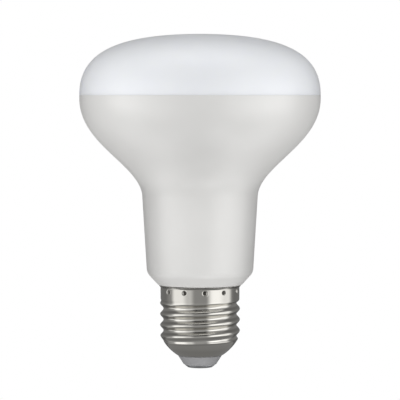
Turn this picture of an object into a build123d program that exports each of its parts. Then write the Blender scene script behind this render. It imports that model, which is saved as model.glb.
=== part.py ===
from build123d import *
import os
from math import sqrt

# Reflector lamp with a screw cap, standing on the contact at its tip with the light going up.
# Sizes are in millimetres. The origin is the centre of the contact's outer face, and +Z the lamp's axis.

# Whole lamp
lamp_length = 110.1
bulb_diameter = 79.5

# Centre contact: a pressed button whose rivet holds it to the insulator
contact_diameter = 9.8
contact_height = 1.0
contact_face_diameter = 8.0
contact_bevel_height = 0.7
rivet_diameter = 3.0
rivet_flare_diameter = 5.0
rivet_flare_height = 0.6

# Insulator: a cone below the cap's lip, a waist through the cap's hole and a flange above the lip
insulator_height = 3.1
insulator_top_diameter = 14.8
insulator_foot_diameter = 10.8
insulator_flange_height = 2.0

# Screw cap, rolled from one sheet: lip, bowl, thread, skirt and flared rim, from the foot up
sheet_thickness = 0.4
cap_height = 23.1
cap_hole_diameter = 13.2
lip_diameter = 15.2
bowl_radius = 16.0
bowl_rise = 7.4
bowl_overrun = 0.4
thread_major_diameter = 26.4
thread_minor_diameter = 24.2
thread_pitch = 3.629
thread_start_angle = 272.0
skirt_diameter = 26.1
skirt_height = 4.9
skirt_roll_height = 0.35
skirt_roll_depth = 0.6
flare_diameter = 27.2
flare_height = 0.7

# Crimps punched into the skirt to hold the housing's spigot
crimp_count = 12
crimp_start_angle = 277.0
crimp_diameter = 1.7
crimp_depth = 0.55
crimp_drop = 1.7

# Housing: foot cone, tapered neck, bell and rim, with the spigot that goes into the cap. The bell fills the
# length that the other forms leave, and its curve pulls are shares of its height
foot_diameter = 27.3
foot_cone_height = 4.2
neck_foot_diameter = 35.1
neck_foot_radius = 4.0
neck_top_diameter = 38.14
neck_height = 25.3
bell_neck_share = 0.32
bell_rim_share = 0.472
rim_height = 1.1

# Diffuser: a dome with a plug that seats inside the housing's rim. Its curve pulls are shares of its height
# and radius
dome_height = 20.1
dome_rim_share = 0.642
dome_crown_share = 0.746
plug_diameter = 74.6
plug_depth = 3.0
seam_chamfer = 0.1

# Clearances between pieces that fit in one another
rivet_clearance = 0.05
lip_clearance = 0.1
spigot_clearance = 0.1
spigot_end_clearance = 0.3
crimp_clearance = 0.1
plug_clearance = 0.1

# Heights of the joints between pieces, from the contact's face up
insulator_foot = contact_height
cap_foot = insulator_foot + insulator_height
cap_rim = cap_foot + cap_height
neck_foot = cap_rim + foot_cone_height
bell_foot = neck_foot + neck_height
crown = lamp_length
seam = crown - dome_height
bell_rim = seam - rim_height

# Values that several pieces share
thread_offset = (thread_major_diameter - thread_minor_diameter) / 4
thread_mean_radius = (thread_major_diameter + thread_minor_diameter) / 4
lip_top = cap_foot + sheet_thickness
flange_top = lip_top + insulator_flange_height
skirt_foot = cap_rim - skirt_height
skirt_roll_foot = skirt_foot - skirt_roll_height
flare_foot = cap_rim - flare_height
skirt_bore_radius = skirt_diameter / 2 - sheet_thickness
flare_bore_radius = flare_diameter / 2 - sheet_thickness
thread_bore_radius = thread_minor_diameter / 2 - sheet_thickness
crimp_bulge_diameter = crimp_diameter + 2 * sheet_thickness
crimp_level = cap_rim - crimp_drop


def turned(outline):
    """Solid turned about the lamp's axis from a closed outline of radius and height."""
    return revolve(make_face(Plane.XZ * outline), Axis.Z)


def ring_edge(solid, radius, height):
    """The circular edge of a turned solid nearest to a radius and height."""
    circles = solid.edges().filter_by(GeomType.CIRCLE)
    return circles.sort_by(lambda edge: abs(edge.radius - radius) + abs(edge.arc_center.Z - height))[0]


def make_centre_contact():
    """Flat button with a bevelled edge, and a rivet that is flared over the insulator's flange."""
    outline = Polyline(
        (0, 0),
        (contact_face_diameter / 2, 0),
        (contact_diameter / 2, contact_bevel_height),
        (contact_diameter / 2, contact_height),
        (rivet_diameter / 2, contact_height),
        (rivet_diameter / 2, flange_top),
        (rivet_flare_diameter / 2, flange_top),
        (rivet_diameter / 2, flange_top + rivet_flare_height),
        (0, flange_top + rivet_flare_height),
        close=True,
    )
    return turned(outline)


def make_insulator():
    """Spool that clasps the cap's lip, with a hole for the rivet."""
    bore = rivet_diameter / 2 + rivet_clearance
    waist = cap_hole_diameter / 2 - lip_clearance
    flange = bowl_wall_radius(lip_top, sheet_thickness) - lip_clearance
    outline = Polyline(
        (bore, insulator_foot),
        (insulator_foot_diameter / 2, insulator_foot),
        (insulator_top_diameter / 2, cap_foot),
        (waist, cap_foot),
        (waist, lip_top),
        (flange, lip_top),
        (flange, flange_top),
        (bore, flange_top),
        close=True,
    )
    return turned(outline)


def bowl_centre():
    """Centre of the bowl's arc, which runs from the lip to just outside the thread's crests."""
    near = Vector(lip_diameter / 2, cap_foot)
    far = Vector(thread_major_diameter / 2 + bowl_overrun, cap_foot + bowl_rise)
    chord = far - near
    sagitta_arm = sqrt(bowl_radius**2 - chord.length**2 / 4)
    across = Vector(-chord.Y, chord.X).normalized()
    return near + chord / 2 + across * sagitta_arm


def bowl_wall_radius(height, inset):
    """Radius of the bowl at a height, on its outer face or on a face set in from it."""
    centre = bowl_centre()
    return centre.X + sqrt((bowl_radius - inset) ** 2 - (height - centre.Y) ** 2)


def bowl_wall_height(radius, inset):
    """Height of the bowl at a radius, on its outer face or on a face set in from it."""
    centre = bowl_centre()
    return centre.Y - sqrt((bowl_radius - inset) ** 2 - (radius - centre.X) ** 2)


def threaded_bar():
    """Round bar set off the axis that turns once per pitch, so that its side is the thread."""
    start = Pos(0, 0, cap_foot) * Rot(0, 0, thread_start_angle)
    section = start * Pos(thread_offset, 0) * Circle(thread_mean_radius)
    guide = start * Helix(thread_pitch, skirt_foot - cap_foot, thread_major_diameter)
    return sweep(section, Line((0, 0, cap_foot), (0, 0, skirt_foot)), binormal=guide)


def plain_bar():
    """Round bar for the space inside the thread, which leaves the sheet's thickness at the roots."""
    height = skirt_foot + sheet_thickness - lip_top
    return Pos(0, 0, lip_top + height / 2) * Cylinder(thread_bore_radius, height)


def cap_form(bar, inset):
    """A bar with the bowl at its foot and the flared skirt on its top, both set in from the cap's outside."""
    foot = cap_foot + inset
    bowl_top = cap_foot + bowl_rise
    middle = (foot + bowl_top) / 2
    bowl_arc = ThreePointArc(
        (bowl_wall_radius(foot, inset), foot),
        (bowl_wall_radius(middle, inset), middle),
        (bowl_wall_radius(bowl_top, inset), bowl_top),
    )
    bowl_sides = Polyline(
        bowl_arc @ 1,
        (thread_major_diameter, bowl_top),
        (thread_major_diameter, cap_rim),
        (0, cap_rim),
        (0, foot),
        bowl_arc @ 0,
    )
    skirt_radius = skirt_diameter / 2 - inset
    skirt = Polyline(
        (0, skirt_roll_foot + inset),
        (skirt_radius - skirt_roll_depth, skirt_roll_foot + inset),
        (skirt_radius, skirt_foot + inset),
        (skirt_radius, flare_foot),
        (flare_diameter / 2 - inset, cap_rim),
        (0, cap_rim),
        close=True,
    )
    return (bar & turned(bowl_arc + bowl_sides)) + turned(skirt)


def crimp_pins(diameter, inner_radius, outer_radius):
    """One pin per crimp, pointing at the axis, between two radii."""
    pin = Rot(0, 90, 0) * Cylinder(diameter / 2, outer_radius - inner_radius)
    places = PolarLocations((inner_radius + outer_radius) / 2, crimp_count, crimp_start_angle)
    return [Pos(0, 0, crimp_level) * place * pin for place in places]


def make_screw_shell():
    """Thin cap with its rolled thread, and crimps that dent the skirt inwards."""
    hole = Pos(0, 0, cap_foot) * Cylinder(cap_hole_diameter / 2, 4 * sheet_thickness)
    shell = cap_form(threaded_bar(), 0) - cap_form(plain_bar(), sheet_thickness) - hole
    skirt_radius = skirt_diameter / 2
    dent_floor = skirt_radius - crimp_depth
    bulge_end = skirt_radius - sheet_thickness / 2
    bulges = crimp_pins(crimp_bulge_diameter, dent_floor - sheet_thickness, bulge_end)
    dents = crimp_pins(crimp_diameter, dent_floor, skirt_radius + crimp_depth)
    return shell + bulges - dents


def make_housing():
    """Moulded body on the cap's flared rim, with a stepped spigot and a groove for the crimps."""
    spigot = skirt_bore_radius - spigot_clearance
    spigot_tip = thread_bore_radius - spigot_clearance
    spigot_step = skirt_foot + sheet_thickness + spigot_clearance
    bowl_end = bowl_wall_height(thread_bore_radius, sheet_thickness)
    spigot_foot = max(bowl_end, flange_top + rivet_flare_height) + spigot_end_clearance
    groove = skirt_bore_radius - crimp_depth - crimp_clearance
    bulge_half = crimp_bulge_diameter / 2 + crimp_clearance
    groove_top = max(crimp_level + bulge_half, flare_foot)
    mouth = plug_diameter / 2 + plug_clearance
    mouth_floor = seam - plug_depth - plug_clearance
    taper = Vector(neck_top_diameter / 2 - neck_foot_diameter / 2, neck_height).normalized()
    neck_end = Vector(neck_top_diameter / 2, bell_foot)
    lower = Polyline(
        (0, spigot_foot),
        (spigot_tip, spigot_foot),
        (spigot_tip, spigot_step),
        (spigot, spigot_step),
        (spigot, crimp_level - bulge_half),
        (groove, crimp_level - bulge_half),
        (groove, groove_top),
        (spigot, groove_top),
        (flare_bore_radius - spigot_clearance, cap_rim),
        (foot_diameter / 2, cap_rim),
        (neck_foot_diameter / 2, neck_foot),
        neck_end,
    )
    bell_height = bell_rim - bell_foot
    bell = Bezier(
        neck_end,
        neck_end + taper * bell_height * bell_neck_share,
        (bulb_diameter / 2, bell_rim - bell_height * bell_rim_share),
        (bulb_diameter / 2, bell_rim),
    )
    upper = Polyline(
        (bulb_diameter / 2, bell_rim),
        (bulb_diameter / 2, seam - seam_chamfer),
        (bulb_diameter / 2 - seam_chamfer, seam),
        (mouth, seam),
        (mouth, mouth_floor),
        (0, mouth_floor),
        (0, spigot_foot),
    )
    body = turned(lower + bell + upper)
    return fillet(ring_edge(body, neck_foot_diameter / 2, neck_foot), neck_foot_radius)


def make_diffuser():
    """Milky dome that meets the housing at the seam, with a plug that centres it in the housing's mouth."""
    dome = Bezier(
        (bulb_diameter / 2, seam + seam_chamfer),
        (bulb_diameter / 2, seam + dome_height * dome_rim_share),
        (bulb_diameter / 2 * dome_crown_share, crown),
        (0, crown),
    )
    base = Polyline(
        (0, crown),
        (0, seam - plug_depth),
        (plug_diameter / 2, seam - plug_depth),
        (plug_diameter / 2, seam),
        (bulb_diameter / 2 - seam_chamfer, seam),
        (bulb_diameter / 2, seam + seam_chamfer),
    )
    return turned(dome + base)


os.makedirs("parts", exist_ok=True)
export_step(make_centre_contact(), "parts/centre_contact.step")
export_step(make_insulator(), "parts/insulator.step")
export_step(make_screw_shell(), "parts/screw_shell.step")
export_step(make_housing(), "parts/housing.step")
export_step(make_diffuser(), "parts/diffuser.step")
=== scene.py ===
import bpy
import numpy as np
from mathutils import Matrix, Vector


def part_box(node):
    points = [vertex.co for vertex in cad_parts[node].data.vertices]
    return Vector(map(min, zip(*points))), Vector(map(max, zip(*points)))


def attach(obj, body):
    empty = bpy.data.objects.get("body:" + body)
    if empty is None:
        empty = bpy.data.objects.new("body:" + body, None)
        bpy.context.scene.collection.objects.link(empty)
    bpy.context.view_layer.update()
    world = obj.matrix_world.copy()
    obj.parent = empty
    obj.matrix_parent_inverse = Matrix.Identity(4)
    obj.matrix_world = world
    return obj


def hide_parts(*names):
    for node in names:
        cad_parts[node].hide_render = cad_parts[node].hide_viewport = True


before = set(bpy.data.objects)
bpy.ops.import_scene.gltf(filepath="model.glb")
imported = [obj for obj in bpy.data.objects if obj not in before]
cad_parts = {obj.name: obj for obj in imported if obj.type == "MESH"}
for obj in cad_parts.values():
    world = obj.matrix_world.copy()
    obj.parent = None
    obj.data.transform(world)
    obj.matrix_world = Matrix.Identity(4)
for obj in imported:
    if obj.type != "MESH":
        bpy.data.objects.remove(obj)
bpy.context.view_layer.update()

# Reflector lamp with a screw cap. Its forms are in millimetres from the contact's face up, and outlines are
# made of (radius, height). The floor, the studio, the lamps and the camera are in metres.
MM = 0.001

# Heights and radii that the CAD nodes give
CONTACT_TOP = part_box("insulator")[0].z / MM
CAP_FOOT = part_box("screw_shell")[0].z / MM
CAP_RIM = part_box("screw_shell")[1].z / MM
SPIGOT_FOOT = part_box("housing")[0].z / MM
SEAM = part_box("housing")[1].z / MM
PLUG_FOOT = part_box("diffuser")[0].z / MM
DOME_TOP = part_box("diffuser")[1].z / MM
FLANGE_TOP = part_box("insulator")[1].z / MM
RIVET_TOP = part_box("centre_contact")[1].z / MM
CONTACT_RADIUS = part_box("centre_contact")[1].x / MM
BULB_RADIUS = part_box("diffuser")[1].x / MM
FLARE_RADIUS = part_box("screw_shell")[1].x / MM

# Turned meshes: columns round the axis, the longest step along an outline, the radius just off the axis, and
# half the angle in radians from which a corner counts as straight
SEGMENTS = 256
STEP = 0.7
AXIS = 0.02
STRAIGHT = 1.55

# Screw cap: sheet, lip and bowl
SHEET = 0.4
LIP_TOP = CAP_FOOT + SHEET
HOLE_RADIUS = 6.6
LIP_RADIUS = 7.6
LIP_ROWS = (HOLE_RADIUS, HOLE_RADIUS + 0.3, LIP_RADIUS - 0.2)
BOWL_RADIUS = 16.0
BOWL_END = (13.6, CAP_FOOT + 7.4)
BOWL_BLEND = 0.35

# Thread and skirt; the thread runs in and out between two heights each
THREAD_MEAN = 12.65
THREAD_OFFSET = 0.55
THREAD_PITCH = 3.629
THREAD_START = np.radians(272.0)
THREAD_BORE = 11.7
SKIRT_RADIUS = 13.05
SKIRT_FOOT = CAP_RIM - 4.9
RUN_IN = (CAP_FOOT + 3.6, CAP_FOOT + 5.0)
RUN_OUT = (SKIRT_FOOT - 0.9, SKIRT_FOOT + 0.6)
FLARE_FOOT = CAP_RIM - 0.7
FLARE_POWER = 1.3
RIM_ROUND = 0.15

# Crimps; the wall of each and the ridge round it lie at shares of its radius
CRIMP_COUNT = 12
CRIMP_START = np.radians(277.0)
CRIMP_LEVEL = CAP_RIM - 1.7
CRIMP_RADIUS = 0.85
CRIMP_DEPTH = 0.55
CRIMP_WALL = (0.3, 1.05)
RIDGE_HEIGHT = 0.03
RIDGE_PLACE = 1.15
RIDGE_WIDTH = 0.18

# The cap's mesh: columns, steps between rows outside, inside the skirt and inside the thread, where the bore
# changes from the one to the other, where rows start outside and end inside, and points round the rim
CAP_SEGMENTS = 432
CAP_STEP = 0.15
SKIRT_STEP = 0.3
BORE_STEP = 0.4
BORE_CHANGE = SKIRT_FOOT + SHEET
BORE_CHANGE_DROP = 0.02
OUTER_START = CAP_FOOT + 0.05
INNER_END = LIP_TOP + 0.1
RIM_POINTS = 6

# The plate's painted light, which is 0 on the thread's flanks and 1 in its roots: painted highlights in the
# roots and painted shade on the flanks and at the bowl's foot; and its painted shade, which is 1 in the
# crimps' hollows and lies along the rim as the shadow under the housing's foot
PLAIN_PAINTED_LIGHT = 0.45
FOOT_PAINTED_LIGHT = 0.1
CREST_PAINTED_LIGHT = 0.65
# painted shadow along the rim under the housing's foot: its strength and the heights over which it fades in
RIM_PAINTED_SHADE = 0.35
SHADED_RIM = (CAP_RIM - 0.55, CAP_RIM - 0.3)

# Centre contact
CONTACT_FACE = 4.0
CONTACT_BEVEL = 0.7
RIVET_RADIUS = 1.5
RIVET_HEAD = 2.5
CONTACT_STEP = 0.25

# Insulator
INSULATOR_BORE = 1.55
INSULATOR_FOOT = 5.4
INSULATOR_RIM = 7.4
INSULATOR_WAIST = 6.5
FLANGE_PLAY = 0.1
INSULATOR_STEP = 0.3

# Housing; the bell's curve leaves the neck and meets the rim with a pull each
SPIGOT_RADIUS = 11.6
SPIGOT_STEP = SKIRT_FOOT + 0.5
COLLAR_RADIUS = 12.55
CRIMP_GROOVE = (CRIMP_LEVEL - 1.35, CRIMP_LEVEL + 1.35)
CRIMP_GROOVE_RADIUS = 12.0
SPIGOT_TOP = 13.1
RIM_GROOVE = 0.3
CONE_FOOT = (13.65, CAP_RIM)
NECK_FOOT = (17.55, CAP_RIM + 4.2)
NECK_FOOT_ROUND = 4.0
NECK_END = (19.07, NECK_FOOT[1] + 25.3)
NECK_PULL = 10.3
BELL_RIM = SEAM - 1.1
BELL_RIM_PULL = 15.2
BELL_POINTS = 90
MOUTH_RADIUS = 37.4
MOUTH_FLOOR = PLUG_FOOT - 0.1

# Diffuser; its curve leaves the foot and meets the top with a pull each
PLUG_RADIUS = 37.3
DOME_FOOT = SEAM + 0.1
DOME_FOOT_PULL = SEAM + 12.9
DOME_TOP_PULL = 29.65
DOME_POINTS = 120

# Factors between which a colour and a value go from the one end to the other
TINT_RANGE = (0.3, 0.7)
SPAN_RANGE = (0.25, 0.75)

WHITE = (1, 1, 1, 1)
WORLD_LEVEL = 0.26

# Floor: its fade ends at a distance, and starts from a share of white
FLOOR_RADIUS = 1.2
FLOOR_HEIGHT = -0.25
FLOOR_SIDES = 96
FLOOR_GREY = (0.5, 0.5, 0.5, 1)
FLOOR_ROUGHNESS = 0.9
FLOOR_FADE_END = 0.6
FLOOR_FADE_START = 0.6

# Studio that the surfaces reflect: levels of light, and soft boxes of (start, end, softness, level). Angles
# are in degrees, round the lamp from the front or up from the level.
STUDIO_RADIUS = 0.6
STUDIO_CENTRE = (0, 0, 0.05)
STUDIO_TURNS = np.linspace(-180, 180, 145)
STUDIO_RISES = np.linspace(-89, 89, 61)
STUDIO_WALL = 0.30
STUDIO_BACK = 0.18
BACK_TURN = (95, 120)
STUDIO_WINDOWS = [(-86, -45, 9, 0.76), (-45, -22, 8, 0.36), (26, 99, 9, 0.70), (32, 66, 12, 0.26)]
WINDOW_RISE = (16, 44)
WINDOW_FALL = (20, 52)
STUDIO_GROUND = 0.33
GROUND_BACK = 0.12
GROUND_BACK_TURN = (118, 136)
GROUND_FALL = (12, 28)
GROUND_BOXES = [(-122, -74, 12, 1.15), (74, 122, 12, 1.15)]
GROUND_RISES = [(-76, -50, 8, 1.0), (-50, -33, 6, 0.45)]
SHADE_TURNS = [(-38, 28, 8, -0.28)]
SHADE_RISES = [(34, 68, 6, 1)]
STUDIO_CEILING = 0.85
CEILING_RISE = (60, 76)

# Grey card under the cap, in millimetres like the cap
CARD_LEVEL = 0.23
CARD_RADIUS = 32.0
CARD_HEIGHT = -5.0
CARD_SIDES = 64

# Lamps: angle from the front in degrees, distance from the axis, height, height aimed at, width, watts, and
# the beam's spread in degrees
LAMPS = {
    "left_lamp": (-64, 0.105, 0.077, 0.080, 0.05, 0.0219, 180),
    "right_lamp": (64, 0.105, 0.077, 0.080, 0.05, 0.0206, 180),
    "left_low_lamp": (-32, 0.15, -0.20, 0.05, 0.12, 0.267, 180),
    "right_low_lamp": (32, 0.15, -0.20, 0.05, 0.12, 0.267, 180),
    "high_lamp": (0, 0.36, 0.385, 0.06, 0.28, 1.32, 180),
    "rear_lamp": (180, 0.8, 0.08, 0.055, 0.12, 0.20, 40),
}

CAMERA_LENS = 204.5
CAMERA_SENSOR = 36
CAMERA_PLACE = (0, -0.750, 0.090)
CAMERA_AIM = (0, 0, 0.0554)


def between(first, second, share):
    """Value at a share of the way from the first to the second."""
    return first + (second - first) * share


def smoothstep(low, high, values):
    """Share from 0 at the low limit to 1 at the high one, with soft ends."""
    share = np.clip((values - low) / (high - low), 0, 1)
    return share * share * (3 - 2 * share)


def add_object(name, data):
    """Puts an object into the scene."""
    made = bpy.data.objects.new(name, data)
    bpy.context.collection.objects.link(made)
    return made


def paint(mesh, name, values):
    """Gives each point of a mesh a value under a name."""
    attribute = mesh.attributes.new(name, "FLOAT", "POINT")
    attribute.data.foreach_set("value", values.reshape(-1).astype(np.float32))


def refined(outline, step):
    """The outline with points added so that no two neighbours are further apart than the step."""
    points = [outline[0]]
    for start, end in zip(outline, outline[1:]):
        count = max(1, int(np.ceil(np.hypot(end[0] - start[0], end[1] - start[1]) / step)))
        points += [tuple(np.add(start, np.subtract(end, start) * k / count)) for k in range(1, count + 1)]
    return points


def rounded(corners, pieces=6):
    """Outline through corners of (radius, height, fillet), with each inner corner rounded by its fillet."""
    points = [corners[0][:2]]
    for before, corner, after in zip(corners, corners[1:], corners[2:]):
        here = np.array(corner[:2])
        back = np.array(before[:2]) - here
        ahead = np.array(after[:2]) - here
        back /= np.linalg.norm(back)
        ahead /= np.linalg.norm(ahead)
        half = np.arccos(np.clip(back @ ahead, -1, 1)) / 2
        if corner[2] == 0 or half > STRAIGHT:
            points.append(corner[:2])
            continue
        bisector = (back + ahead) / np.linalg.norm(back + ahead)
        centre = here + bisector * corner[2] / np.sin(half)
        start = here + back * corner[2] / np.tan(half) - centre
        end = here + ahead * corner[2] / np.tan(half) - centre
        turn = np.pi - 2 * half
        for k in range(pieces + 1):
            share = k / pieces
            weights = np.sin((1 - share) * turn), np.sin(share * turn)
            points.append(tuple(centre + (start * weights[0] + end * weights[1]) / np.sin(turn)))
    points.append(corners[-1][:2])
    return points


def bezier(a, b, c, d, count):
    """Points along a cubic curve between a and d."""
    a, b, c, d = (np.array(point) for point in (a, b, c, d))
    t = np.linspace(0, 1, count)[:, None]
    curve = (1 - t) ** 3 * a + 3 * t * (1 - t) ** 2 * b + 3 * t * t * (1 - t) * c + t**3 * d
    return [tuple(point) for point in curve]


def skin(name, radii, heights, ring):
    """Closed mesh from rows of radii and heights, one column per angle.

    A ring joins its last row to its first, and any other mesh ends in a point on the axis at both.
    """
    rows, columns = radii.shape
    angles = np.arange(columns) * 2 * np.pi / columns
    points = np.stack([radii * np.cos(angles), radii * np.sin(angles), heights], axis=-1) * MM
    index = np.arange(rows * columns).reshape(rows, columns)
    lower = index if ring else index[:-1]
    upper = np.roll(index, -1, axis=0) if ring else index[1:]
    beside = np.roll(lower, -1, axis=1), np.roll(upper, -1, axis=1)
    faces = np.stack([lower, beside[0], beside[1], upper], axis=-1).reshape(-1, 4).tolist()
    vertices = points.reshape(-1, 3).tolist()
    if not ring:
        for end, turn in ((0, -1), (-1, 1)):
            tip = len(vertices)
            vertices.append((0.0, 0.0, float(heights[end, 0]) * MM))
            loop = index[end][::turn].tolist()
            faces += [(a, b, tip) for a, b in zip(loop, loop[1:] + loop[:1])]
    mesh = bpy.data.meshes.new(name)
    mesh.from_pydata(vertices, [], faces)
    mesh.validate()
    mesh.shade_smooth()
    return add_object(name, mesh)


def lathe(name, outline, ring=False, step=STEP):
    """Closed mesh turned about the axis; a ring's outline ends at its start, any other just off the axis."""
    points = np.array(refined(outline, step))
    if ring:
        points = points[:-1]
    spread = np.ones(SEGMENTS)
    return skin(name, points[:, :1] * spread, points[:, 1:] * spread, ring)


def bowl_radius(heights):
    """Radius of the cap's bowl at a height, from an arc between the lip and the thread."""
    near = np.array((LIP_RADIUS, CAP_FOOT))
    chord = np.array(BOWL_END) - near
    length = np.linalg.norm(chord)
    across = np.array((-chord[1], chord[0])) / length
    centre = near + chord / 2 + across * np.sqrt(BOWL_RADIUS**2 - length**2 / 4)
    return centre[0] + np.sqrt(np.maximum(BOWL_RADIUS**2 - (heights - centre[1]) ** 2, 0))


def thread_wave(angles, heights):
    """1 on the crests and -1 in the roots of a right-handed thread, which climbs anticlockwise from above."""
    return np.cos(2 * np.pi * (heights - CAP_FOOT) / THREAD_PITCH - (angles - THREAD_START))


def flare(heights):
    """How far the cap's rim stands out from its skirt at a height."""
    share = np.clip((heights - FLARE_FOOT) / (CAP_RIM - FLARE_FOOT), 0, 1)
    return (FLARE_RADIUS - SKIRT_RADIUS) * share**FLARE_POWER


def crimp_dent(angles, heights):
    """Depth of the crimps, from 0 on the skirt to 1 at the floor of each, and the raised ridge round them."""
    pitch = 2 * np.pi / CRIMP_COUNT
    turn = (angles - CRIMP_START + pitch / 2) % pitch - pitch / 2
    distance = np.hypot(turn * SKIRT_RADIUS, heights - CRIMP_LEVEL) / CRIMP_RADIUS
    ridge = np.exp(-(((distance - RIDGE_PLACE) / RIDGE_WIDTH) ** 2))
    return 1 - smoothstep(*CRIMP_WALL, distance), ridge


def cap_radius(angles, heights):
    """Radius of the cap's outer face: bowl, thread that runs out into the skirt, crimps and flared rim."""
    thread = THREAD_MEAN + THREAD_OFFSET * thread_wave(angles, heights)
    bowl = bowl_radius(heights)
    mix = np.clip(0.5 + (bowl - thread) / (2 * BOWL_BLEND), 0, 1)
    rolled = between(bowl, thread, mix) - BOWL_BLEND * mix * (1 - mix)
    radius = between(rolled, SKIRT_RADIUS, smoothstep(*RUN_OUT, heights))
    dent, ridge = crimp_dent(angles, heights)
    return radius + flare(heights) - CRIMP_DEPTH * dent + RIDGE_HEIGHT * ridge


def cap_painted_light(angles, heights):
    """Painted light on the cap: even on the skirt, lower towards the bowl's foot as painted shade, and
    following the wave of the thread as painted highlights in the roots and painted shade on the flanks.
    """
    wave = thread_wave(angles, heights)
    threaded = smoothstep(*RUN_IN, heights) * (1 - smoothstep(*RUN_OUT, heights))
    plain = between(FOOT_PAINTED_LIGHT, PLAIN_PAINTED_LIGHT, smoothstep(CAP_FOOT, RUN_IN[0], heights))
    return between(plain, np.where(wave < 0, -wave, CREST_PAINTED_LIGHT * wave), threaded)


def cap_painted_shade(angles, heights):
    """Painted shade on the cap: in its crimps, where it stands in for the shade in their hollows, and along
    its rim, as the shadow under the housing's foot.
    """
    return np.maximum(crimp_dent(angles, heights)[0], RIM_PAINTED_SHADE * smoothstep(*SHADED_RIM, heights))


def make_screw_shell():
    """Thin cap: lip, bowl, thread and crimped skirt outside, then over the rim and down a plain bore."""
    angles = np.arange(CAP_SEGMENTS) * 2 * np.pi / CAP_SEGMENTS
    spread = np.ones(CAP_SEGMENTS)
    rows = [(radius * spread, CAP_FOOT * spread) for radius in LIP_ROWS]
    for height in np.arange(OUTER_START, CAP_RIM - RIM_ROUND, CAP_STEP):
        rows.append((cap_radius(angles, height * spread), height * spread))
    for turn in np.linspace(0, np.pi / 2, RIM_POINTS)[1:]:
        height = CAP_RIM - RIM_ROUND * (1 - np.sin(turn))
        rows.append((cap_radius(angles, height * spread) - RIM_ROUND * (1 - np.cos(turn)), height * spread))
    in_skirt = np.arange(CAP_RIM, BORE_CHANGE, -SKIRT_STEP)
    in_thread = np.arange(BORE_CHANGE - BORE_CHANGE_DROP, INNER_END, -BORE_STEP)
    for height in np.concatenate([in_skirt, [BORE_CHANGE], in_thread, [LIP_TOP]]):
        bore = SKIRT_RADIUS + flare(height) - SHEET if height >= BORE_CHANGE else THREAD_BORE
        rows.append((np.minimum(bore, cap_radius(angles, height * spread) - SHEET), height * spread))
    rows.append((HOLE_RADIUS * spread, LIP_TOP * spread))
    radii, heights = (np.array(values) for values in zip(*rows))
    piece = skin("screw_cap", radii, heights, ring=True)
    # the cap carries its painted highlights and painted shade as values at its points
    paint(piece.data, "painted_light", cap_painted_light(angles, heights))
    paint(piece.data, "painted_shade", cap_painted_shade(angles, heights))
    return piece


def make_centre_contact():
    """Button with a flat face, and a rivet through the insulator that is flared over its flange."""
    outline = rounded(
        [
            (AXIS, 0, 0),
            (CONTACT_FACE, 0, 0.5),
            (CONTACT_RADIUS, CONTACT_BEVEL, 0.2),
            (CONTACT_RADIUS, CONTACT_TOP, 0.1),
            (RIVET_RADIUS, CONTACT_TOP, 0),
            (RIVET_RADIUS, FLANGE_TOP, 0),
            (RIVET_HEAD, FLANGE_TOP, 0.05),
            (RIVET_RADIUS, RIVET_TOP, 0.2),
            (AXIS, RIVET_TOP, 0),
        ]
    )
    return lathe("contact_button", outline, step=CONTACT_STEP)


def make_insulator():
    """Ring that clasps the cap's lip: a cone below it, a waist through its hole and a flange above."""
    flange = float(bowl_radius(np.array(LIP_TOP))) - SHEET - FLANGE_PLAY
    outline = rounded(
        [
            (INSULATOR_BORE, FLANGE_TOP, 0),
            (INSULATOR_BORE, CONTACT_TOP, 0),
            (INSULATOR_FOOT, CONTACT_TOP, 0.35),
            (INSULATOR_RIM, CAP_FOOT, 0.15),
            (INSULATOR_WAIST, CAP_FOOT, 0),
            (INSULATOR_WAIST, LIP_TOP, 0),
            (flange, LIP_TOP, 0.1),
            (flange, FLANGE_TOP, 0.2),
            (INSULATOR_BORE, FLANGE_TOP, 0),
        ]
    )
    return lathe("cap_insulator", outline, ring=True, step=INSULATOR_STEP)


def make_housing():
    """Spigot inside the cap, foot cone, tapered neck and bell, with a mouth for the diffuser's plug."""
    neck = np.subtract(NECK_END, NECK_FOOT)
    taper = neck / np.linalg.norm(neck)
    cone_height = CAP_RIM + RIM_GROOVE
    cone_radius = np.interp(RIM_GROOVE, (0, NECK_FOOT[1] - CONE_FOOT[1]), (CONE_FOOT[0], NECK_FOOT[0]))
    lower = rounded(
        [
            (AXIS, SPIGOT_FOOT, 0),
            (SPIGOT_RADIUS, SPIGOT_FOOT, 0.3),
            (SPIGOT_RADIUS, SPIGOT_STEP, 0),
            (COLLAR_RADIUS, SPIGOT_STEP, 0.2),
            (COLLAR_RADIUS, CRIMP_GROOVE[0], 0),
            (CRIMP_GROOVE_RADIUS, CRIMP_GROOVE[0], 0),
            (CRIMP_GROOVE_RADIUS, CRIMP_GROOVE[1], 0),
            (COLLAR_RADIUS, CRIMP_GROOVE[1], 0),
            (SPIGOT_TOP, CAP_RIM, 0),
            (SPIGOT_TOP, cone_height, 0),
            (cone_radius, cone_height, 0.1),
            (*NECK_FOOT, NECK_FOOT_ROUND),
            NECK_END,
        ],
        pieces=10,
    )
    bell = bezier(
        NECK_END,
        NECK_END + taper * NECK_PULL,
        (BULB_RADIUS, BELL_RIM - BELL_RIM_PULL),
        (BULB_RADIUS, BELL_RIM),
        BELL_POINTS,
    )
    upper = rounded(
        [
            (BULB_RADIUS, BELL_RIM, 0),
            (BULB_RADIUS, SEAM, 0.08),
            (MOUTH_RADIUS, SEAM, 0.2),
            (MOUTH_RADIUS, MOUTH_FLOOR, 0),
            (AXIS, MOUTH_FLOOR, 0),
        ]
    )
    return lathe("bell_housing", lower + bell[1:] + upper[1:])


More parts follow.
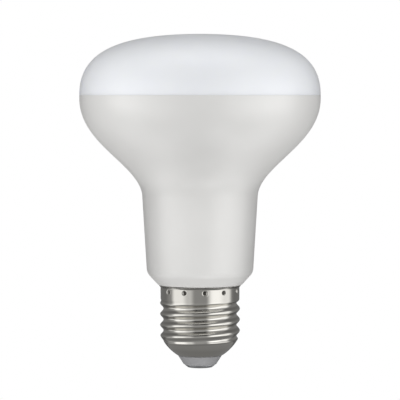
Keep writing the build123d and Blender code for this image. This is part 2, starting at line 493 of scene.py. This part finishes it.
def make_diffuser():
    """Dome with a plug below the seam; the last corner of its base only sets the way that the edge turns."""
    base = rounded(
        [
            (AXIS, PLUG_FOOT, 0),
            (PLUG_RADIUS, PLUG_FOOT, 0.3),
            (PLUG_RADIUS, SEAM, 0),
            (BULB_RADIUS, SEAM, 0.08),
            (BULB_RADIUS, DOME_FOOT, 0),
        ]
    )
    dome = bezier(
        (BULB_RADIUS, DOME_FOOT),
        (BULB_RADIUS, DOME_FOOT_PULL),
        (DOME_TOP_PULL, DOME_TOP),
        (AXIS, DOME_TOP),
        DOME_POINTS,
    )
    return lathe("dome_diffuser", base[:-1] + dome[1:])


def add_node(tree, kind, settings=(), **inputs):
    """A node of a kind; an input named with underscores takes a value or another node's socket."""
    made = tree.nodes.new(kind)
    for name, value in settings:
        setattr(made, name, value)
    for name, value in inputs.items():
        socket = made.inputs[name.replace("_", " ")]
        if isinstance(value, bpy.types.NodeSocket):
            tree.links.new(value, socket)
        else:
            socket.default_value = value
    return made


def joined(tree, operation, first, second):
    """Value that an operation makes of two."""
    made = add_node(tree, "ShaderNodeMath", settings=[("operation", operation)])
    tree.links.new(first, made.inputs[0])
    tree.links.new(second, made.inputs[1])
    return made.outputs[0]


def mixed_shader(tree, factor, first, second):
    """Shader between two, by a factor."""
    made = add_node(tree, "ShaderNodeMixShader", Fac=factor)
    tree.links.new(first, made.inputs[1])
    tree.links.new(second, made.inputs[2])
    return made.outputs[0]


def grain(tree, scale, stretch=(1, 1, 1), detail=3.0):
    """Noise fixed to the object, with a scale in features per metre."""
    place = add_node(tree, "ShaderNodeTexCoord").outputs["Object"]
    place = add_node(tree, "ShaderNodeMapping", Vector=place, Scale=stretch).outputs["Vector"]
    return add_node(tree, "ShaderNodeTexNoise", Vector=place, Scale=scale, Detail=detail).outputs["Fac"]


def painted(tree, name):
    """Value that a piece carries at its points under a name."""
    return add_node(tree, "ShaderNodeAttribute", settings=[("attribute_name", name)]).outputs["Fac"]


def tint(tree, factor, dark, light):
    """Colour between two, by a factor."""
    ramp = add_node(tree, "ShaderNodeValToRGB", Fac=factor)
    for stop, position, colour in zip(ramp.color_ramp.elements, TINT_RANGE, (dark, light)):
        stop.position = position
        stop.color = (*colour, 1)
    return ramp.outputs["Color"]


def span(tree, factor, low, high):
    """Value between two, by a factor."""
    made = add_node(tree, "ShaderNodeMapRange", Value=factor, From_Min=SPAN_RANGE[0], From_Max=SPAN_RANGE[1],
                    To_Min=low, To_Max=high)
    return made.outputs["Result"]


def blend(tree, factor, first, second):
    """Colour between a socket's and a plain one, by a factor."""
    made = add_node(tree, "ShaderNodeMix", settings=[("data_type", "RGBA")])
    factor_input, first_input, second_input = (made.inputs[k] for k in (0, 6, 7))
    tree.links.new(factor, factor_input)
    tree.links.new(first, first_input)
    second_input.default_value = (*second, 1)
    return made.outputs[2]


def relief(tree, height, strength, distance):
    """Normal of a face with a fine relief, whose depth is in metres."""
    made = add_node(tree, "ShaderNodeBump", Height=height, Strength=strength, Distance=distance)
    return made.outputs["Normal"]


def new_material(name):
    """A material, its node tree and its shader."""
    material = bpy.data.materials.new(name)
    material.use_nodes = True
    return material, material.node_tree, material.node_tree.nodes["Principled BSDF"]


def finish_surface(tree, shader, colour, roughness, normal, **constants):
    """Links what varies over the surface to the shader and sets what doesn't on its own sockets."""
    tree.links.new(colour, shader.inputs["Base Color"])
    tree.links.new(roughness, shader.inputs["Roughness"])
    tree.links.new(normal, shader.inputs["Normal"])
    for name, value in constants.items():
        shader.inputs[name.replace("_", " ")].default_value = value


def milky_diffuser():
    """Milky moulded plastic with a satin face and faint clouds of its diffusing pigment."""
    material, tree, shader = new_material("milky_diffuser")
    colour = tint(tree, grain(tree, scale=60), dark=(0.885, 0.905, 0.952), light=(0.91, 0.93, 0.972))
    roughness = span(tree, grain(tree, scale=140), low=0.32, high=0.42)
    normal = relief(tree, grain(tree, scale=2600, detail=1.0), strength=0.12, distance=0.00004)
    finish_surface(tree, shader, colour, roughness, normal, IOR=1.75, Subsurface_Weight=0.3,
                   Subsurface_Radius=(1.0, 1.0, 0.9), Subsurface_Scale=0.002)
    return material


def pearl_housing():
    """Satin pearl-white moulding with a fine orange-peel face."""
    material, tree, shader = new_material("pearl_housing")
    colour = tint(tree, grain(tree, scale=45), dark=(0.735, 0.73, 0.715), light=(0.765, 0.76, 0.745))
    roughness = span(tree, grain(tree, scale=220), low=0.34, high=0.44)
    normal = relief(tree, grain(tree, scale=1800, detail=1.5), strength=0.16, distance=0.00005)
    finish_surface(tree, shader, colour, roughness, normal, IOR=2.2)
    return material


def nickel_cap():
    """Nickel-plated sheet with rolling marks, with painted highlights in the thread's roots and painted shade
    on its flanks, at the bowl's foot, in its crimps and along its rim.
    """
    material, tree, shader = new_material("nickel_cap")
    marks = grain(tree, scale=90, stretch=(1, 1, 28), detail=4.0)
    # painted light: the plate is paler where highlights are painted into the thread's roots, and darker where
    # shade is painted on the flanks and at the bowl's foot
    plate = tint(tree, painted(tree, "painted_light"), dark=(0.62, 0.605, 0.565), light=(0.90, 0.88, 0.83))
    # painted shade: near black in the crimps' hollows and darker along the rim under the housing's foot
    colour = blend(tree, painted(tree, "painted_shade"), plate, (0.07, 0.065, 0.06))
    roughness = span(tree, marks, low=0.05, high=0.10)
    normal = relief(tree, marks, strength=0.05, distance=0.00003)
    finish_surface(tree, shader, colour, roughness, normal, Metallic=1.0)
    return material


def grey_insulator():
    """Pressed grey insulator with a fine speckle."""
    material, tree, shader = new_material("grey_insulator")
    speckle = grain(tree, scale=900, detail=2.0)
    colour = tint(tree, speckle, dark=(0.295, 0.295, 0.302), light=(0.315, 0.315, 0.322))
    roughness = span(tree, grain(tree, scale=500), low=0.42, high=0.55)
    normal = relief(tree, grain(tree, scale=1600, detail=2.0), strength=0.04, distance=0.00003)
    finish_surface(tree, shader, colour, roughness, normal)
    return material


def tinned_contact():
    """Tinned button with faint pressing marks."""
    material, tree, shader = new_material("tinned_contact")
    marks = grain(tree, scale=700, detail=4.0)
    colour = tint(tree, grain(tree, scale=260), dark=(0.52, 0.53, 0.55), light=(0.62, 0.63, 0.65))
    roughness = span(tree, marks, low=0.30, high=0.46)
    normal = relief(tree, marks, strength=0.2, distance=0.00005)
    finish_surface(tree, shader, colour, roughness, normal, Metallic=1.0)
    return material


def dress(piece, node, material):
    """Gives a piece its material and puts it in the place of its CAD node."""
    piece.data.materials.append(material)
    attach(piece, "root")
    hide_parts(node)


def seen_by_eye(tree):
    """1 for rays that the camera sees straight, reflected or through glass, and 0 for those that light."""
    path = add_node(tree, "ShaderNodeLightPath").outputs
    seen = path["Is Camera Ray"]
    for name in ("Is Glossy Ray", "Is Transmission Ray"):
        seen = joined(tree, "MAXIMUM", seen, path[name])
    return seen


def make_world():
    """White to the eye, and a dim even light on the object."""
    world = bpy.data.worlds.new("studio")
    world.use_nodes = True
    tree = world.node_tree
    lit = tree.nodes["Background"]
    lit.inputs["Color"].default_value = WHITE
    lit.inputs["Strength"].default_value = WORLD_LEVEL
    white = add_node(tree, "ShaderNodeBackground", Color=WHITE, Strength=1.0)
    surface = mixed_shader(tree, seen_by_eye(tree), lit.outputs[0], white.outputs[0])
    tree.links.new(surface, tree.nodes["World Output"].inputs["Surface"])
    bpy.context.scene.world = world


def disc(name, radius, height, sides):
    """Flat round mesh about the axis, in metres."""
    turns = np.linspace(0, 2 * np.pi, sides, endpoint=False)
    corners = [(radius * np.cos(turn), radius * np.sin(turn), height) for turn in turns]
    mesh = bpy.data.meshes.new(name)
    mesh.from_pydata(corners, [], [tuple(range(sides))])
    return mesh


def make_floor():
    """Pale round floor below the lamp that fades into the white at its edge, and is clear from below."""
    floor = add_object("floor", disc("floor", FLOOR_RADIUS, FLOOR_HEIGHT, FLOOR_SIDES))
    material, tree, shader = new_material("floor")
    shader.inputs["Base Color"].default_value = FLOOR_GREY
    shader.inputs["Roughness"].default_value = FLOOR_ROUGHNESS
    reach = add_node(tree, "ShaderNodeVectorMath", settings=[("operation", "LENGTH")])
    tree.links.new(add_node(tree, "ShaderNodeTexCoord").outputs["Object"], reach.inputs[0])
    fade = add_node(tree, "ShaderNodeMapRange", Value=reach.outputs["Value"], From_Max=FLOOR_FADE_END,
                    To_Min=FLOOR_FADE_START).outputs["Result"]
    below = add_node(tree, "ShaderNodeNewGeometry").outputs["Backfacing"]
    white = add_node(tree, "ShaderNodeEmission", Color=WHITE, Strength=1.0).outputs[0]
    clear = add_node(tree, "ShaderNodeBsdfTransparent").outputs[0]
    seen = seen_by_eye(tree)
    faded = mixed_shader(tree, joined(tree, "MULTIPLY", fade, seen), shader.outputs[0], white)
    surface = mixed_shader(tree, joined(tree, "MULTIPLY", below, seen), faded, clear)
    tree.links.new(surface, tree.nodes["Material Output"].inputs["Surface"])
    floor.data.materials.append(material)
    floor.visible_glossy = False


def show_in_reflections(mesh):
    """Adds a mesh to the scene that glows by its own levels and shows only in reflections."""
    piece = add_object(mesh.name, mesh)
    material, tree, shader = new_material(mesh.name)
    tree.nodes.remove(shader)
    glow = add_node(tree, "ShaderNodeEmission", Color=WHITE, Strength=painted(tree, "level"))
    tree.links.new(glow.outputs[0], tree.nodes["Material Output"].inputs["Surface"])
    mesh.materials.append(material)
    piece.visible_camera = False
    piece.visible_diffuse = False
    piece.visible_transmission = False
    piece.visible_shadow = False


def soft_boxes(angles, boxes):
    """Light that boxes of (start, end, softness, level) add at angles."""
    return sum(
        level * (smoothstep(start - soft, start + soft, angles) - smoothstep(end - soft, end + soft, angles))
        for start, end, soft, level in boxes
    )


def studio_level(angles, heights):
    """Light of the studio at angles round the lamp and up."""
    wall = between(STUDIO_WALL, STUDIO_BACK, smoothstep(*BACK_TURN, np.abs(angles)))
    window_share = (1 - smoothstep(*WINDOW_RISE, heights)) * (1 - smoothstep(*WINDOW_FALL, -heights))
    windows = soft_boxes(angles, STUDIO_WINDOWS) * window_share
    ground_boxes = soft_boxes(angles, GROUND_BOXES) * soft_boxes(heights, GROUND_RISES)
    shade = soft_boxes(angles, SHADE_TURNS) * soft_boxes(heights, SHADE_RISES)
    ground = between(STUDIO_GROUND, GROUND_BACK, smoothstep(*GROUND_BACK_TURN, np.abs(angles)))
    ground = (ground - wall) * smoothstep(*GROUND_FALL, -heights)
    overhead = (STUDIO_CEILING - wall) * smoothstep(*CEILING_RISE, heights)
    return wall + windows + ground_boxes + ground + overhead + shade


def make_reflected_studio():
    """Grey studio with soft boxes at its sides, overhead and on its ground."""
    angles, heights = np.meshgrid(STUDIO_TURNS, STUDIO_RISES)
    turn, rise = np.radians(angles), np.radians(heights)
    spots = np.stack([np.sin(turn) * np.cos(rise), -np.cos(turn) * np.cos(rise), np.sin(rise)], axis=-1)
    spots = spots * STUDIO_RADIUS + STUDIO_CENTRE
    index = np.arange(turn.size).reshape(turn.shape)
    corners = np.stack([index[:-1, :-1], index[:-1, 1:], index[1:, 1:], index[1:, :-1]], axis=-1)
    mesh = bpy.data.meshes.new("reflected_studio")
    mesh.from_pydata(spots.reshape(-1, 3).tolist(), [], corners.reshape(-1, 4).tolist())
    paint(mesh, "level", studio_level(angles, heights))
    show_in_reflections(mesh)


def make_card():
    """Grey card under the cap."""
    mesh = disc("grey_card", CARD_RADIUS * MM, CARD_HEIGHT * MM, CARD_SIDES)
    paint(mesh, "level", np.full(CARD_SIDES, CARD_LEVEL))
    show_in_reflections(mesh)


def make_lamp(name, azimuth, radius, height, aim_height, size, watts, spread):
    """Soft area lamp at an angle from the front, aimed at the axis."""
    turn = np.radians(azimuth)
    light = bpy.data.lights.new(name, "AREA")
    light.shape = "DISK"
    light.size = size
    light.energy = watts
    light.spread = np.radians(spread)
    lamp = add_object(name, light)
    lamp.location = (radius * np.sin(turn), -radius * np.cos(turn), height)
    lamp.rotation_euler = (lamp.location - Vector((0, 0, aim_height))).to_track_quat("Z", "Y").to_euler()
    lamp.visible_camera = False
    lamp.visible_glossy = False


def make_camera():
    """Camera in front of the lamp and a little above its middle."""
    data = bpy.data.cameras.new("camera")
    data.lens = CAMERA_LENS
    data.sensor_width = CAMERA_SENSOR
    camera = add_object("camera", data)
    camera.location = CAMERA_PLACE
    camera.rotation_euler = (Vector(CAMERA_AIM) - camera.location).to_track_quat("-Z", "Y").to_euler()
    bpy.context.scene.camera = camera


dress(make_diffuser(), "diffuser", milky_diffuser())
dress(make_housing(), "housing", pearl_housing())
dress(make_screw_shell(), "screw_shell", nickel_cap())
dress(make_insulator(), "insulator", grey_insulator())
dress(make_centre_contact(), "centre_contact", tinned_contact())

make_world()
make_floor()
make_reflected_studio()
make_card()
for lamp_name, lamp_settings in LAMPS.items():
    make_lamp(lamp_name, *lamp_settings)
make_camera()
bpy.context.scene.view_settings.view_transform = "Standard"
